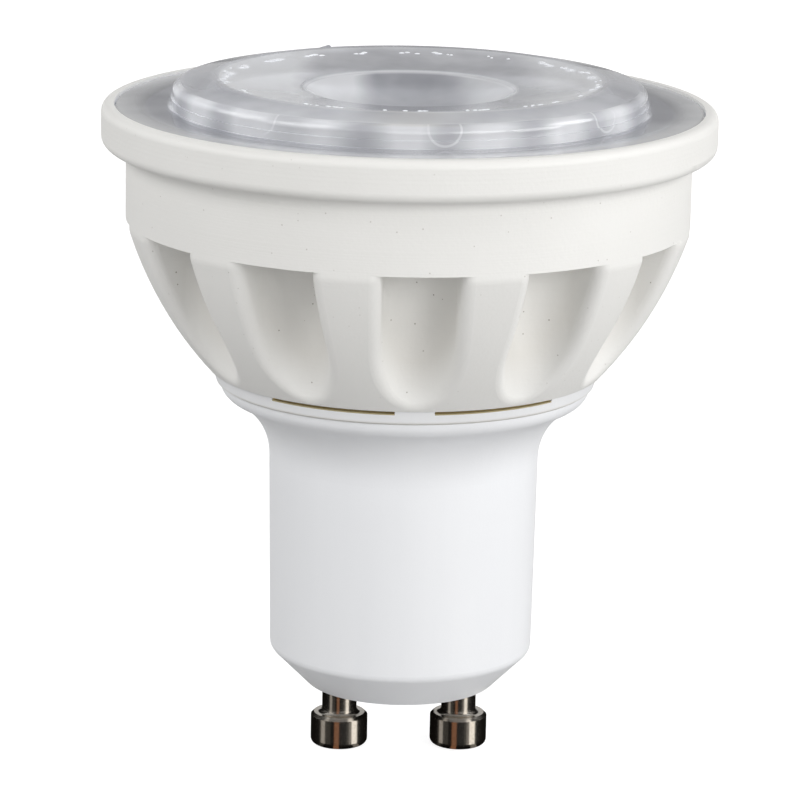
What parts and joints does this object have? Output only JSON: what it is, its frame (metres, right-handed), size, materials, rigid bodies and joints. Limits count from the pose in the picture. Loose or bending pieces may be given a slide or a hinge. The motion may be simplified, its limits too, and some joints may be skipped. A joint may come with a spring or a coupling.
{
  "type": "led light bulb",
  "caption": "LED spot lamp bulb with a twist-lock pin base, a flared white heat sink with fluted sides and a clear round collimator lens with a dished face.",
  "frame": {"origin": "midway between the end faces of the two pin heads, at the bottom of the lamp on its axis", "axes": "+Z along the lamp's axis from the pins to the lens, X through both pins, front at -Y"},
  "size_m": [0.05, 0.05, 0.0565],
  "materials": {
    "sink_coat": "matt white powder coat on die-cast aluminium",
    "lens_clear": "clear moulded plastic, polished",
    "base_plastic": "satin white moulded plastic",
    "cup_plastic": "satin white moulded plastic",
    "pin_plate": "bright nickel plate on turned brass",
    "led_mask": "white solder mask on an aluminium board",
    "pad_silicone": "soft filled silicone sheet",
    "carrier_ceramic": "white fired ceramic",
    "phosphor": "phosphor-filled silicone",
    "screw_steel": "zinc-plated steel",
    "driver_laminate": "green solder mask on glass laminate",
    "can_sleeve": "shrunk plastic sleeve",
    "ferrite": "dark sintered ferrite",
    "bobbin_plastic": "dark moulded plastic",
    "winding_tape": "yellow tape over enamelled wire",
    "choke_copper": "enamelled copper wire",
    "package_epoxy": "black moulded epoxy",
    "fuse_coat": "flameproof coating",
    "surge_coat": "dipped epoxy coating",
    "resistor_ceramic": "ceramic body with glass coat",
    "live_sleeve": "extruded insulation",
    "neutral_sleeve": "extruded insulation",
    "positive_sleeve": "extruded insulation",
    "negative_sleeve": "extruded insulation"
  },
  "bodies": {
    "root": {"heat_sink": "sink_coat", "lens": "lens_clear", "base_housing": "base_plastic", "driver_cup": "cup_plastic", "live_pin": "pin_plate", "neutral_pin": "pin_plate", "led_board": "led_mask", "thermal_pad": "pad_silicone", "chip_carrier": "carrier_ceramic", "phosphor_disc": "phosphor", "board_screws": "screw_steel", "cup_screws": "screw_steel", "driver_board": "driver_laminate", "input_capacitor": "can_sleeve", "output_capacitor": "can_sleeve", "transformer_core": "ferrite", "choke_core": "ferrite", "transformer_bobbin": "bobbin_plastic", "transformer_winding": "winding_tape", "choke_winding": "choke_copper", "driver_chip": "package_epoxy", "bridge_rectifier": "package_epoxy", "output_diode": "package_epoxy", "fuse_resistor": "fuse_coat", "surge_disc": "surge_coat", "chip_resistors": "resistor_ceramic", "live_wire": "live_sleeve", "neutral_wire": "neutral_sleeve", "positive_lead": "positive_sleeve", "negative_lead": "negative_sleeve"}
  },
  "joints": []
}
